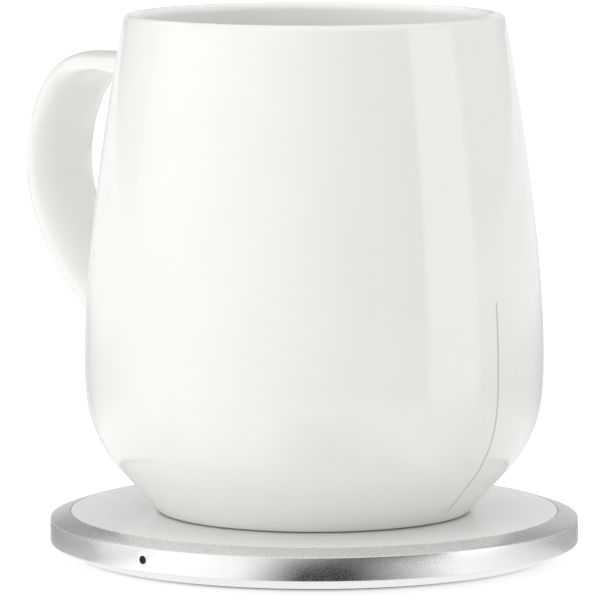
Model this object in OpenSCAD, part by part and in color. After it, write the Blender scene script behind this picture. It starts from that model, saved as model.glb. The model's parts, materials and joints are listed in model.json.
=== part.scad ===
// Heated mug: a bellied ceramic mug with a strap handle, standing on a flat round warming pad.
// The pad holds a flat induction coil, and the mug's base holds the metal disc that the coil heats.
// Lengths are in millimetres. The origin is the middle of the pad's foot, on the table.
// +Z is up, the handle points to -X, the status lamp looks to -Y and the power inlet to +Y.

/* [Mug] */
// Height of the mug, from its foot to the top of its lip
mug_height = 94; // [88:0.5:102]
// Largest outside radius, at the belly
belly_radius = 43.4; // [42:0.1:47]
// Height of the belly's widest point above the foot
belly_height = 28; // [26:0.5:31]
// Outside radius where the wall turns into the lip
rim_radius = 36; // [33.5:0.1:37]
// Thickness of the rounded lip
lip_thickness = 2.8; // [2.2:0.1:3.4]
// Thickness of the ceramic wall
mug_wall = 3.6; // [3:0.1:4.2]
// Radius of the arc just above the belly
shoulder_radius = 190; // [160:5:220]
// Lean of the wall, in degrees, where the arc above the belly ends
shoulder_turn = 5; // [3.5:0.25:5.5]
// Radius of the arc just below the belly
underbelly_radius = 56; // [50:1:66]
// Lean of the wall, in degrees, where the arc below the belly ends
underbelly_turn = 6.2; // [4.5:0.1:7]
// Radius of the round corner between there and the straight run down to the heel
corner_radius = 24; // [21:0.5:26]
// Radius where the heel meets the foot ring
heel_radius = 29.6; // [28:0.1:30.5]
// Height of the foot ring, the dark line under the heel
foot_height = 0.2; // [0.15:0.05:0.6]
// How far the foot ring stands back from the heel
foot_inset = 0.9; // [0.5:0.1:1.2]
// Height of the inside floor above the foot
floor_height = 8; // [7:0.1:10]
// Radius of the round between the inside floor and the wall
floor_fillet = 15; // [12:0.5:16.5]

/* [Handle] */
// Width of the strap, across the handle
strap_width = 17.8; // [15:0.1:20]
// Thickness of the strap
strap_thickness = 7.2; // [6:0.1:8.4]
// Squareness of the strap's section: 2 is an ellipse, more is boxier
strap_squareness = 2.6; // [2:0.1:3.2]
// How much the strap grows, on every side, where it meets the mug
root_flare = 1.6; // [0.8:0.1:2.2]
// Distance from the mug at which that growth starts
root_length = 5; // [3.5:0.1:7]
// Height of the top run's centre line above the foot
handle_height = 81.2; // [77:0.2:84]
// Length of the level top run, beyond the wall
top_run = 16.1; // [13:0.1:20]
// Centre-line radius of the bend at the end of the top run
crook_radius = 5.4; // [5:0.1:8]
// Turn of that bend, in degrees
crook_turn = 50.5; // [44:0.5:56]
// Centre-line radius of the grip
grip_radius = 25; // [22:0.5:28]
// Turn of the grip, in degrees
grip_turn = 61; // [55:0.5:66]
// Centre-line radius of the lower run back to the belly
tail_radius = 44; // [38:0.5:52]

/* [Heater in the mug] */
// Radius of the recess under the mug
recess_radius = 25.2; // [22:0.1:25.6]
// Thickness of the steel disc that the coil heats
heater_thickness = 1.4; // [1:0.1:2]
// Thickness of the bond between the disc and the ceramic
bond_thickness = 0.3; // [0.2:0.05:0.5]
// Thickness of the cap that closes the recess
cap_thickness = 1; // [0.8:0.1:1.4]
// Height of the cap's rim, which holds the disc up
cap_rim_height = 0.5; // [0.3:0.1:0.8]
// Width of the cap's rim
cap_rim_width = 2; // [1.5:0.1:3]
// How far the cap stays above the foot
cap_lift = 0.4; // [0.3:0.05:0.6]
// Width of the seal round the cap
seal_width = 0.8; // [0.6:0.05:1.2]

/* [Pad housing] */
// Outside radius of the pad
pad_radius = 50; // [48:0.5:56]
// Height of the pad, from the table to its top
pad_height = 8.3; // [8:0.1:10]
// How far the foot pad stands out below the housing
foot_stand = 0.5; // [0.3:0.05:0.8]
// Width of the shallow bevel round the top
top_bevel_width = 3.8; // [3.2:0.1:5.2]
// Height of the bevel round the top
top_bevel_height = 1.2; // [0.8:0.1:1.4]
// Width of the bevel under the wall
low_bevel_width = 4.9; // [4:0.1:5.2]
// Height of the bevel under the wall
low_bevel_height = 2.1; // [1.6:0.1:2.4]
// Thickness of the housing ring's wall
ring_wall = 6; // [5.6:0.1:7]
// Width of the ledge that carries the top plate
ledge_width = 3.2; // [2.6:0.1:4]
// Thickness of that ledge
ledge_thickness = 0.6; // [0.5:0.05:0.9]
// Thickness of the top plate
plate_thickness = 1.5; // [1.2:0.1:1.8]
// Bevel on the top plate's upper edge
plate_bevel = 0.2; // [0.1:0.05:0.4]
// Thickness of the tape under the top plate
tape_thickness = 0.2; // [0.1:0.05:0.3]
// Thickness of the base cover
base_thickness = 1.5; // [1.3:0.1:1.8]
// Depth that the foot pad is let into the base cover
foot_recess = 0.4; // [0.3:0.05:0.5]
// Width of the base cover's rim round the foot pad
base_rim = 0.8; // [0.6:0.1:1.4]
// Number of cover screws and of the lugs that take them
screw_count = 4; // [3:1:4]
// Radius of the lugs inside the ring
lug_radius = 2.4; // [2.1:0.1:2.8]
// Distance from the ring's inner wall to a lug's centre
lug_inset = 3.5; // [3:0.1:4]
// Radius of a screw's shank
screw_radius = 0.8; // [0.7:0.05:1]
// Length of a screw under its head
screw_length = 3.4; // [3:0.1:3.8]
// Radius of a screw's head
screw_head_radius = 1.7; // [1.5:0.05:1.9]
// Height of a screw's head
screw_head_height = 0.6; // [0.5:0.05:0.7]

/* [Coil] */
// Diameter of the coil's wire
wire_diameter = 1.1; // [0.9:0.05:1.2]
// Gap between neighbouring turns
coil_gap = 0.55; // [0.45:0.05:0.65]
// Radius of the coil's inner end
coil_start_radius = 7.5; // [6.5:0.1:8.5]
// Thickness of the heat pad between the coil and the top plate
heat_pad_thickness = 0.3; // [0.2:0.05:0.4]
// Thickness of the ferrite disc under the coil
ferrite_thickness = 1.2; // [1.2:0.05:1.4]
// How far the ferrite disc reaches past the coil
ferrite_margin = 1; // [0.6:0.1:1.4]
// Thickness of the tray under the ferrite disc
tray_thickness = 0.8; // [0.6:0.1:1]
// Height of the tray's rim round the ferrite disc
tray_rim_height = 0.8; // [0.5:0.1:1]
// Width of the tray's rim and of its standing wall
tray_wall = 0.9; // [0.8:0.1:1.2]
// Radius of the tray's standing wall
tray_stand_radius = 20; // [16:0.5:22]
// Length over which a lead comes down from one level to the next
lead_ramp = 3.2; // [3:0.1:3.6]
// Length of each lead's end that lies on the board
lead_landing = 1.5; // [1:0.1:2]
// Radius at which the outer lead bends away from the last turn
lead_bend_radius = 12; // [10:0.5:14]
// Turn of that bend, in degrees
lead_bend_turn = 40; // [36:1:46]
// Radius of the temperature sensor
sensor_radius = 1.5; // [1.2:0.1:1.8]

/* [Board] */
// Least width of the board's ring: the coil's turns fill the room inside it
board_width = 10.6; // [9:0.1:12]
// Thickness of the circuit board
board_thickness = 1; // [0.8:0.1:1.2]
// Number of posts that carry the board
post_count = 6; // [4:1:8]
// Height of those posts
post_height = 0.5; // [0.4:0.05:0.7]
// Radius of each post
post_radius = 1.6; // [1.2:0.1:2]
// Side of the control chip
chip_side = 6; // [5:0.1:7]
// Height of the control chip
chip_height = 0.9; // [0.7:0.05:1.1]
// Side of each power transistor
transistor_side = 3.3; // [3:0.1:4]
// Height of each power transistor
transistor_height = 1; // [0.8:0.05:1.2]
// Side of the filter inductor
inductor_side = 7; // [6:0.1:7.4]
// Height of the filter inductor
inductor_height = 2.4; // [2:0.1:2.6]
// Length of each tuning capacitor
capacitor_length = 4.5; // [3.8:0.1:5]
// Width of each tuning capacitor
capacitor_width = 3.2; // [2.6:0.1:3.6]
// Height of each tuning capacitor
capacitor_height = 2; // [1.6:0.1:2.4]

/* [Inlet and lamp] */
// Width of the power inlet's shell
inlet_width = 8.94; // [8.6:0.02:9.2]
// Height of the power inlet's shell
inlet_height = 3.2; // [3:0.02:3.3]
// Length of the power inlet's shell
inlet_length = 7.4; // [6.8:0.1:7.8]
// Thickness of the power inlet's shell
inlet_wall = 0.3; // [0.25:0.01:0.35]
// How far the inlet's mouth stays behind the pad's wall
inlet_setback = 0.9; // [0.5:0.1:1.2]
// Height of the inlet's middle above the board
inlet_rise = 1.05; // [1:0.05:1.1]
// Length of the inlet's two feet on the board
inlet_foot_length = 1.4; // [1:0.1:1.8]
// How far each foot reaches out beside the inlet
inlet_foot_reach = 1.55; // [1.2:0.05:1.8]
// Width of the board beside the inlet, on each side
inlet_tab_side = 3; // [2.5:0.1:3.5]
// Width of the contact tongue inside the inlet
tongue_width = 6.7; // [6.3:0.1:7]
// Thickness of that tongue
tongue_thickness = 0.7; // [0.6:0.02:0.8]
// Radius of the status lamp's light pipe
pipe_radius = 0.75; // [0.6:0.02:0.9]
// Length of the light pipe's collar, behind the ring's wall
pipe_collar_length = 0.8; // [0.6:0.05:1]
// Width of the lamp
lamp_width = 1.6; // [1.4:0.05:2]
// Depth of the lamp
lamp_depth = 0.9; // [0.7:0.05:1.1]
// Distance from the ring's inner wall to the lamp's face
lamp_setback = 2; // [1.8:0.1:2.4]
// Width of the board's tab under the lamp
lamp_tab_width = 4.4; // [3.6:0.1:5.2]

/* [Clearances] */
// Gap round a piece that drops into a pocket
fit_gap = 0.1; // [0.08:0.01:0.15]
// Gap round a screw, a wire, a lamp or an inlet
slip_gap = 0.05; // [0.03:0.01:0.08]
// Free space between pieces that pass each other
pass_gap = 0.4; // [0.3:0.05:0.5]

/* [Hidden] */

$fn = 96;
// Fragments of the coil's wire
wire_fragments = 48;
// Steps along a lead's ramp or bend
ramp_steps = 6;
// Extra length that a cut runs past the face it opens
cut_over = 1;

// Lean, from the vertical, of the line from one point of the outline to the next
function chord_lean(from, to) = atan2(from.x - to.x, abs(to.y - from.y));
// Lean at the far end of an arc that leaves one point at a given lean and ends at the next point
function end_lean(from, to, lean) = 2 * chord_lean(from, to) - lean;
// Radius of that arc
function arc_radius(from, to, lean) = norm(to - from) / (2 * sin(chord_lean(from, to) - lean));
// Point on a circle, and points along an arc after its first
function on_circle(centre, radius, angle) = centre + radius * [cos(angle), sin(angle)];
function arc_points(centre, radius, from, to, steps) =
  [for (i = [1 : steps]) on_circle(centre, radius, from + (to - from) * i / steps)];

// Outside of the mug, in radius and height above the foot: two arcs above the belly, two below,
// and a straight run that leaves the last arc without a kink and ends at the heel
lip_radius = lip_thickness / 2;
belly = [belly_radius, belly_height];
shoulder_centre = belly - [shoulder_radius, 0];
shoulder_end = on_circle(shoulder_centre, shoulder_radius, shoulder_turn);
lip_level = mug_height - lip_radius;
lip_lean = end_lean(shoulder_end, [rim_radius, lip_level], shoulder_turn);
lip_centre = [rim_radius - lip_radius * cos(lip_lean), lip_level];
rim = on_circle(lip_centre, lip_radius, lip_lean);
wall_arc_radius = arc_radius(shoulder_end, rim, shoulder_turn);
wall_centre = on_circle(shoulder_end, -wall_arc_radius, shoulder_turn);
underbelly_centre = belly - [underbelly_radius, 0];
underbelly_end = on_circle(underbelly_centre, underbelly_radius, -underbelly_turn);
heel = [heel_radius, foot_height];
corner_centre = on_circle(underbelly_end, -corner_radius, -underbelly_turn);
heel_reach = heel - corner_centre;
corner_turn = -atan2(heel_reach.y, heel_reach.x) - acos(corner_radius / norm(heel_reach));
corner_end = on_circle(corner_centre, corner_radius, -corner_turn);
foot_radius = heel_radius - foot_inset;
mug_outline = concat(
  [[0, 0], [foot_radius, 0], [foot_radius, foot_height], heel, corner_end],
  arc_points(corner_centre, corner_radius, -corner_turn, -underbelly_turn, 14),
  arc_points(underbelly_centre, underbelly_radius, -underbelly_turn, 0, 3),
  arc_points(shoulder_centre, shoulder_radius, 0, shoulder_turn, 4),
  arc_points(wall_centre, wall_arc_radius, shoulder_turn, end_lean(shoulder_end, rim, shoulder_turn), 8),
  arc_points(lip_centre, lip_radius, lip_lean, 90, 6),
  [[0, mug_height]]
);

// Inside of the mug: the same centres one wall further in, closing to the lip's thickness
inner_shoulder_radius = shoulder_radius - mug_wall;
inner_shoulder_end = on_circle(shoulder_centre, inner_shoulder_radius, shoulder_turn);
inner_rim = on_circle(lip_centre, -lip_radius, lip_lean);
inner_wall_radius = arc_radius(inner_shoulder_end, inner_rim, shoulder_turn);
inner_wall_centre = on_circle(inner_shoulder_end, -inner_wall_radius, shoulder_turn);
inner_wall_lean = end_lean(inner_shoulder_end, inner_rim, shoulder_turn);
inner_belly_radius = underbelly_radius - mug_wall;
fillet_level = floor_height + floor_fillet;
fillet_lean = asin((belly_height - fillet_level) / (inner_belly_radius - floor_fillet));
fillet_centre = on_circle(underbelly_centre, inner_belly_radius - floor_fillet, -fillet_lean);
cavity_outline = concat(
  [[0, floor_height], [fillet_centre.x, floor_height]],
  arc_points(fillet_centre, floor_fillet, -90, -fillet_lean, 18),
  arc_points(underbelly_centre, inner_belly_radius, -fillet_lean, 0, 3),
  arc_points(shoulder_centre, inner_shoulder_radius, 0, shoulder_turn, 4),
  arc_points(inner_wall_centre, inner_wall_radius, shoulder_turn, inner_wall_lean, 8),
  arc_points(lip_centre, lip_radius, 180 + lip_lean, 90, 6),
  [[lip_centre.x, mug_height + cut_over], [0, mug_height + cut_over]]
);

// Outside radius of the mug at a height above the foot, from the lower run of the handle upwards
function radius_on(centre, radius, level) = centre.x + sqrt(radius ^ 2 - (level - centre.y) ^ 2);
function mug_radius_at(level) =
  level > shoulder_end.y ? radius_on(wall_centre, wall_arc_radius, level)
  : level > belly_height ? radius_on(shoulder_centre, shoulder_radius, level)
  : radius_on(underbelly_centre, underbelly_radius, level);

// Handle's centre line: a level run, a tight crook, the grip and the lower run, all in one plane
// Each station is a place, in distance from the axis and height above the foot, and a heading
root_radius = mug_radius_at(handle_height);
run_end = [root_radius + top_run, handle_height];
function bend_centre(from, heading, radius) = from + radius * [sin(heading), -cos(heading)];
function bend_point(centre, heading, radius) = centre - radius * [sin(heading), -cos(heading)];
function bend(centre, heading, radius, turn, steps) =
  [for (i = [1 : steps]) let (h = heading - turn * i / steps) [bend_point(centre, h, radius), h]];
crook_centre = bend_centre(run_end, 0, crook_radius);
grip_start = bend_point(crook_centre, -crook_turn, crook_radius);
grip_centre = bend_centre(grip_start, -crook_turn, grip_radius);
tail_heading = -crook_turn - grip_turn;
tail_start = bend_point(grip_centre, tail_heading, grip_radius);
tail_centre = bend_centre(tail_start, tail_heading, tail_radius);
// Both ends of the strap go on until they are through the wall
root_depth = 1.5 * mug_wall;
tail_end_radius = belly_radius - root_depth;
tail_turn = acos((tail_end_radius - tail_centre.x) / tail_radius)
  - acos((tail_start.x - tail_centre.x) / tail_radius);
// Stations at the top root start where the wall falls back beside the strap
root_steps = 7;
root_drop = root_radius - sqrt(root_radius ^ 2 - strap_width ^ 2 / 4);
stations = concat(
  [[[root_radius - root_depth, handle_height], 0]],
  [
    for (i = [0 : root_steps])
      [[root_radius - root_drop + (root_drop + root_length) * i / root_steps, handle_height], 0]
  ],
  [[run_end, 0]],
  bend(crook_centre, 0, crook_radius, crook_turn, 5),
  bend(grip_centre, -crook_turn, grip_radius, grip_turn, 11),
  bend(tail_centre, tail_heading, tail_radius, tail_turn, 24)
);

// Strap section round a station: a soft-cornered oval, each point of which flares as it nears the mug
strap_sides = 24;
root_overlap = 1;
function flare_at(distance) =
  root_flare * (max(root_length - max(distance, -root_overlap), 0) / root_length) ^ 2;
function soft_power(value) = sign(value) * abs(value) ^ (2 / strap_squareness);
function strap_point(station, across, out) =
  [station[0].x - out * sin(station[1]), across, station[0].y + out * cos(station[1])];
function wall_distance(point) = point.x - sqrt(mug_radius_at(point.z) ^ 2 - point.y ^ 2);
function strap_ring(station) = [
  for (k = [0 : strap_sides - 1])
    let (across = -soft_power(cos(k * 360 / strap_sides)), out = soft_power(sin(k * 360 / strap_sides)))
    let (half_width = strap_width / 2, half_thickness = strap_thickness / 2)
    let (plain_point = strap_point(station, half_width * across, half_thickness * out))
    let (extra = flare_at(wall_distance(plain_point)))
    strap_point(station, (half_width + extra) * across, (half_thickness + extra) * out)
];

// Levels in the mug's base, above its foot
cap_top = cap_lift + cap_thickness;
heater_level = cap_top + cap_rim_height;
bond_level = heater_level + heater_thickness;
recess_depth = bond_level + bond_thickness;
heater_radius = recess_radius - 2 * fit_gap;
cap_radius = recess_radius - seal_width;

// Radii of the pad
bore_radius = pad_radius - ring_wall;
pocket_radius = pad_radius - top_bevel_width;
plate_radius = pocket_radius - fit_gap;
ledge_radius = pocket_radius - ledge_width;
base_edge_radius = pad_radius - low_bevel_width;
base_radius = bore_radius - fit_gap;
foot_pad_radius = base_radius - base_rim;
lug_circle = bore_radius - lug_inset;
// Levels of the pad, above the table
wall_low = foot_stand + low_bevel_height;
wall_high = pad_height - top_bevel_height;
plate_level = pad_height - plate_thickness;
ledge_top = plate_level - tape_thickness;
ledge_low = ledge_top - ledge_thickness;
base_top = foot_stand + base_thickness;
foot_pad_top = foot_stand + foot_recess;
head_top = foot_pad_top + screw_head_height;
screw_top = head_top + screw_length;

// Coil, with as many turns as fit inside the board's ring, and the stack under it
board_outer = lug_circle - lug_radius - pass_gap;
coil_pitch = wire_diameter + coil_gap;
wire_radius = wire_diameter / 2;
coil_limit = board_outer - board_width - pass_gap - tray_wall - 2 * fit_gap - ferrite_margin - wire_radius;
coil_turns = floor((coil_limit - coil_start_radius) / coil_pitch);
coil_end_radius = coil_start_radius + coil_turns * coil_pitch;
coil_reach = coil_end_radius + wire_radius;
heat_pad_level = plate_level - heat_pad_thickness;
coil_level = heat_pad_level - slip_gap - wire_radius;
ferrite_top = coil_level - wire_radius - slip_gap;
ferrite_level = ferrite_top - ferrite_thickness;
tray_level = ferrite_level - tray_thickness;
ferrite_radius = coil_reach + ferrite_margin;
tray_radius = ferrite_radius + 2 * fit_gap + tray_wall;
heat_pad_radius = coil_reach + pass_gap;
lead_slot = wire_diameter + pass_gap;
lead_level = ferrite_level + slip_gap + wire_radius;

// Circuit board, a ring round the tray
board_level = base_top + post_height;
board_top = board_level + board_thickness;
board_inner = tray_radius + pass_gap;
board_reach = bore_radius - pass_gap;
board_middle = (board_inner + board_outer) / 2;
pad_lead_level = board_top + slip_gap + wire_radius;

// Power inlet at the back and lamp at the front
inlet_level = board_top + inlet_rise;
inlet_mouth = pad_radius - inlet_setback;
inlet_back = inlet_mouth - inlet_length;
inlet_tab_width = inlet_width + 2 * inlet_tab_side;
lamp_level = (wall_low + wall_high) / 2;
lamp_face = bore_radius - lamp_setback;
pipe_end = lamp_face + 2 * fit_gap;
pipe_collar_radius = ledge_low - lamp_level - fit_gap;

// Places round the axis, in degrees from +X
first_lug_angle = 45;
chip_angle = 55;
inductor_angle = 140;
capacitor_angles = [175, 193, 211, 229];
transistor_angles = [-12, -26, -40, -54];

// Points along the coil, used to measure the gap between its turns
coil_samples = 24;
function half_turn_radius(half) = coil_start_radius + half * coil_pitch / 2;
function half_turn_offset(half) = (half % 2) * coil_pitch / 2;
function coil_point(turn_angle) =
  let (half = floor(turn_angle / 180))
  [half_turn_offset(half), 0] + half_turn_radius(half) * [cos(turn_angle), sin(turn_angle)];
coil_points = [for (i = [0 : coil_turns * coil_samples - 1]) coil_point(i * 360 / coil_samples)];
coil_gaps = [
  for (i = [0 : len(coil_points) - 1])
    for (j = [i + coil_samples / 2 : len(coil_points) - 1])
      norm(coil_points[i] - coil_points[j]) - wire_diameter
];
echo(least_gap_between_coil_turns = min(coil_gaps));

// A flat ring, standing on a level
module flat_ring(outer, inner, level, height) {
  difference() {
    translate([0, 0, level]) cylinder(r = outer, h = height);
    translate([0, 0, level - cut_over]) cylinder(r = inner, h = height + 2 * cut_over);
  }
}

// A bar with two half-round ends, as a flat outline
module pill(width, height) {
  flat = width - height;
  square([flat, height], center = true);
  for (side = [-1, 1])
    intersection() {
      translate([side * flat / 2, 0]) circle(d = height);
      translate([side * (flat + height) / 2, 0]) square([height, height], center = true);
    }
}

// A solid through a list of rings of points, closed by its first and last rings
module loft(rings) {
  sides = len(rings[0]);
  last = len(rings) - 1;
  skin = [
    for (i = [0 : last - 1])
      for (k = [0 : sides - 1])
        let (a = i * sides + k, b = i * sides + (k + 1) % sides)
        each [[a, b, a + sides], [b, b + sides, a + sides]]
  ];
  start_cap = [for (k = [0 : sides - 1]) sides - 1 - k];
  end_cap = [for (k = [0 : sides - 1]) last * sides + k];
  polyhedron(points = [for (ring = rings) each ring], faces = concat(skin, [start_cap, end_cap]));
}

// A round tube through a list of points; its path never runs straight up
module round_tube(points, radius) {
  sides = 8;
  last = len(points) - 1;
  function way(i) =
    let (step = points[min(i + 1, last)] - points[max(i - 1, 0)]) step / norm(step);
  function ring(i) =
    let (along = way(i), flat = cross(along, [0, 0, 1]))
    let (across = flat / norm(flat), up = cross(across, along))
    [
      for (k = [0 : sides - 1])
        let (angle = k * 360 / sides)
        points[i] + radius * (cos(angle) * across + sin(angle) * up)
    ];
  loft([for (i = [0 : last]) ring(i)]);
}

// Copies round the axis, at the lugs
module at_lugs() {
  for (i = [0 : screw_count - 1])
    rotate(first_lug_angle + i * 360 / screw_count) translate([lug_circle, 0, 0]) children();
}

// One piece on the board, at an angle and at the middle of the board's ring
module on_board(angle) {
  rotate(angle) translate([board_middle, 0, board_top]) children();
}

// A moulded block with its lower face on the origin and a bevel round its top
module component(length, width, height) {
  bevel = height / 6;
  translate([-length / 2, -width / 2, 0]) cube([length, width, height - bevel]);
  translate([bevel - length / 2, bevel - width / 2, height - bevel])
    cube([length - 2 * bevel, width - 2 * bevel, bevel]);
}

// Everything on the mug is drawn above its foot and stands on the pad
module on_pad() {
  translate([0, 0, pad_height]) children();
}

module mug_body() {
  color("ivory") on_pad() difference() {
    union() {
      rotate_extrude() polygon(mug_outline);
      rotate(180) loft([for (station = stations) strap_ring(station)]);
    }
    rotate_extrude() polygon(cavity_outline);
    translate([0, 0, -cut_over]) cylinder(r = recess_radius, h = recess_depth + cut_over);
  }
}

module disc_bond() {
  color("whitesmoke") on_pad()
    translate([0, 0, bond_level]) cylinder(r = heater_radius, h = bond_thickness);
}

module heating_disc() {
  color("silver") on_pad()
    translate([0, 0, heater_level]) cylinder(r = heater_radius, h = heater_thickness);
}

module base_cap() {
  color("white") on_pad() {
    translate([0, 0, cap_lift]) cylinder(r = cap_radius, h = cap_thickness);
    flat_ring(cap_radius, cap_radius - cap_rim_width, cap_top, cap_rim_height);
  }
}

module cap_seal() {
  color("gainsboro") on_pad()
    flat_ring(recess_radius - slip_gap, cap_radius + slip_gap, cap_lift, cap_thickness + cap_rim_height);
}

module housing_ring() {
  lug_height = ledge_low - base_top;
  color("silver") difference() {
    union() {
      rotate_extrude() polygon([
        [bore_radius, foot_stand], [base_edge_radius, foot_stand], [pad_radius, wall_low],
        [pad_radius, wall_high], [pocket_radius, pad_height], [pocket_radius, ledge_top],
        [ledge_radius, ledge_top], [ledge_radius, ledge_low], [bore_radius, ledge_low]
      ]);
      at_lugs() {
        translate([0, 0, base_top]) cylinder(r = lug_radius, h = lug_height);
        translate([0, -lug_radius, base_top]) cube([lug_inset + cut_over, 2 * lug_radius, lug_height]);
      }
    }
    at_lugs() cylinder(r = screw_radius + slip_gap, h = screw_top + slip_gap);
    translate([0, inlet_back, inlet_level]) rotate([-90, 0, 0])
      linear_extrude(ring_wall + inlet_length)
        pill(inlet_width + 2 * fit_gap, inlet_height + 2 * fit_gap);
    translate([0, -ledge_radius, lamp_level]) rotate([90, 0, 0])
      cylinder(r = pipe_radius + slip_gap, h = ring_wall + ledge_width);
  }
}

module top_plate() {
  color("lightgray") rotate_extrude() polygon([
    [0, plate_level], [plate_radius, plate_level], [plate_radius, pad_height - plate_bevel],
    [plate_radius - plate_bevel, pad_height], [0, pad_height]
  ]);
}

module plate_tape() {
  color("dimgray") flat_ring(plate_radius - fit_gap, ledge_radius + fit_gap, ledge_top, tape_thickness);
}

module base_cover() {
  rib_radius = tray_stand_radius - pass_gap;
  color("gainsboro") difference() {
    union() {
      translate([0, 0, foot_stand]) cylinder(r = base_radius, h = base_thickness);
      flat_ring(rib_radius, rib_radius - tray_wall, base_top, post_height);
      for (i = [0 : post_count - 1])
        rotate(i * 360 / post_count) translate([board_middle, 0, base_top])
          cylinder(r = post_radius, h = post_height);
    }
    translate([0, 0, foot_stand - cut_over])
      cylinder(r = foot_pad_radius + fit_gap, h = foot_recess + cut_over);
    at_lugs() {
      cylinder(r = screw_head_radius + fit_gap, h = head_top);
      cylinder(r = screw_radius + slip_gap, h = base_top + cut_over);
    }
  }
}

module foot_pad() {
  color("dimgray") cylinder(r = foot_pad_radius, h = foot_pad_top);
}

// One screw: a flat head with a cross recess and a plain shank
module cover_screw() {
  recess_width = screw_head_radius / 3;
  difference() {
    union() {
      translate([0, 0, foot_pad_top]) cylinder(r = screw_head_radius, h = screw_head_height);
      translate([0, 0, head_top]) cylinder(r = screw_radius, h = screw_length);
    }
    for (turn = [0, 90])
      rotate(turn) translate([-screw_head_radius / 2, -recess_width / 2, foot_pad_top])
        cube([screw_head_radius, recess_width, screw_head_height / 2]);
  }
}

module cover_screws() {
  color("darkgray") at_lugs() cover_screw();
}

module heat_pad() {
  color("lightblue") translate([0, 0, heat_pad_level])
    cylinder(r = heat_pad_radius, h = heat_pad_thickness);
}

// A flat spiral made of half turns, each half a pitch wider than the one before
module charging_coil() {
  color("peru") for (half = [0 : 2 * coil_turns - 1])
    translate([half_turn_offset(half), 0, coil_level]) rotate(half * 180)
      rotate_extrude(angle = 180, $fn = wire_fragments)
        translate([half_turn_radius(half), 0]) circle(wire_radius, $fn = wire_fragments);
}

// Points of a soft step from one place to another
function ramp(from, to) =
  [
    for (i = [0 : ramp_steps])
      let (share = i / ramp_steps, fall = (1 - cos(180 * share)) / 2)
      [from.x + (to.x - from.x) * share, from.y + (to.y - from.y) * share, from.z + (to.z - from.z) * fall]
  ];

// The inner lead dips into the ferrite's slot and runs out under the turns
module inner_lead() {
  function along(distance, level) = [coil_start_radius, -distance, level];
  landing = tray_radius + lead_ramp;
  round_tube(concat(
    [along(0, coil_level)],
    ramp(along(wire_diameter, coil_level), along(wire_diameter + lead_ramp, lead_level)),
    ramp(along(tray_radius, lead_level), along(landing, pad_lead_level)),
    [along(landing + lead_landing, pad_lead_level)]
  ), wire_radius);
}

// The outer lead bends away from the last turn, over the tray's rim, and comes down on the board
module outer_lead() {
  function on_bend(turn, level) = [
    coil_end_radius + lead_bend_radius * (1 - cos(turn)),
    wire_diameter + lead_bend_radius * sin(turn),
    level
  ];
  way = [sin(lead_bend_turn), cos(lead_bend_turn), 0];
  bend_end = on_bend(lead_bend_turn, coil_level);
  landing = on_bend(lead_bend_turn, pad_lead_level) + lead_ramp * way;
  round_tube(concat(
    [[coil_end_radius, 0, coil_level]],
    [for (i = [0 : ramp_steps - 1]) on_bend(lead_bend_turn * i / ramp_steps, coil_level)],
    ramp(bend_end, landing),
    [landing + lead_landing * way]
  ), wire_radius);
}

module coil_leads() {
  color("sienna") {
    inner_lead();
    outer_lead();
  }
}

module ferrite_disc() {
  color("darkslategray") difference() {
    translate([0, 0, ferrite_level]) cylinder(r = ferrite_radius, h = ferrite_thickness);
    translate([0, 0, ferrite_level - cut_over])
      cylinder(r = sensor_radius + pass_gap, h = ferrite_thickness + 2 * cut_over);
    translate([coil_start_radius - lead_slot / 2, -tray_radius, ferrite_level - cut_over])
      cube([lead_slot, tray_radius - wire_radius, ferrite_thickness + 2 * cut_over]);
  }
}

module coil_tray() {
  color("gray") difference() {
    union() {
      translate([0, 0, tray_level]) cylinder(r = tray_radius, h = tray_thickness);
      flat_ring(tray_radius, tray_radius - tray_wall, ferrite_level, tray_rim_height);
      flat_ring(tray_stand_radius + tray_wall, tray_stand_radius, base_top, tray_level - base_top);
    }
    translate([coil_start_radius - lead_slot / 2, -tray_radius - cut_over, ferrite_level])
      cube([lead_slot, tray_radius, tray_rim_height + cut_over]);
  }
}

module temperature_sensor() {
  color("black") translate([0, 0, ferrite_level])
    cylinder(r = sensor_radius, h = heat_pad_level - ferrite_level);
}

module board_outline() {
  difference() {
    union() {
      circle(board_outer);
      intersection() {
        circle(board_reach);
        translate([-inlet_tab_width / 2, 0]) square([inlet_tab_width, board_reach]);
      }
      translate([-lamp_tab_width / 2, -lamp_face]) square([lamp_tab_width, lamp_face]);
    }
    circle(board_inner);
    translate([-inlet_width / 2 - pass_gap, inlet_back - pass_gap])
      square([inlet_width + 2 * pass_gap, inlet_length]);
  }
}

module circuit_board() {
  color("darkgreen") translate([0, 0, board_level]) linear_extrude(board_thickness) board_outline();
}

module control_chip() {
  color("black") on_board(chip_angle) component(chip_side, chip_side, chip_height);
}

module power_transistors() {
  color("black") for (angle = transistor_angles)
    on_board(angle) component(transistor_side, transistor_side, transistor_height);
}

module filter_inductor() {
  color("darkslategray") on_board(inductor_angle) component(inductor_side, inductor_side, inductor_height);
}

module tuning_capacitors() {
  color("tan") for (angle = capacitor_angles)
    on_board(angle) component(capacitor_width, capacitor_length, capacitor_height);
}

module inlet_shell() {
  foot_start = inlet_width / 2 - 1.5 * inlet_wall;
  foot_end = inlet_width / 2 + inlet_foot_reach;
  color("silver") {
    translate([0, inlet_back, inlet_level]) rotate([-90, 0, 0]) difference() {
      linear_extrude(inlet_length) pill(inlet_width, inlet_height);
      translate([0, 0, inlet_wall])
        linear_extrude(inlet_length) pill(inlet_width - 2 * inlet_wall, inlet_height - 2 * inlet_wall);
    }
    for (side = [0, 1])
      mirror([side, 0, 0]) translate([foot_start, inlet_back, board_top])
        cube([foot_end - foot_start, inlet_foot_length, inlet_wall]);
  }
}

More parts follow.
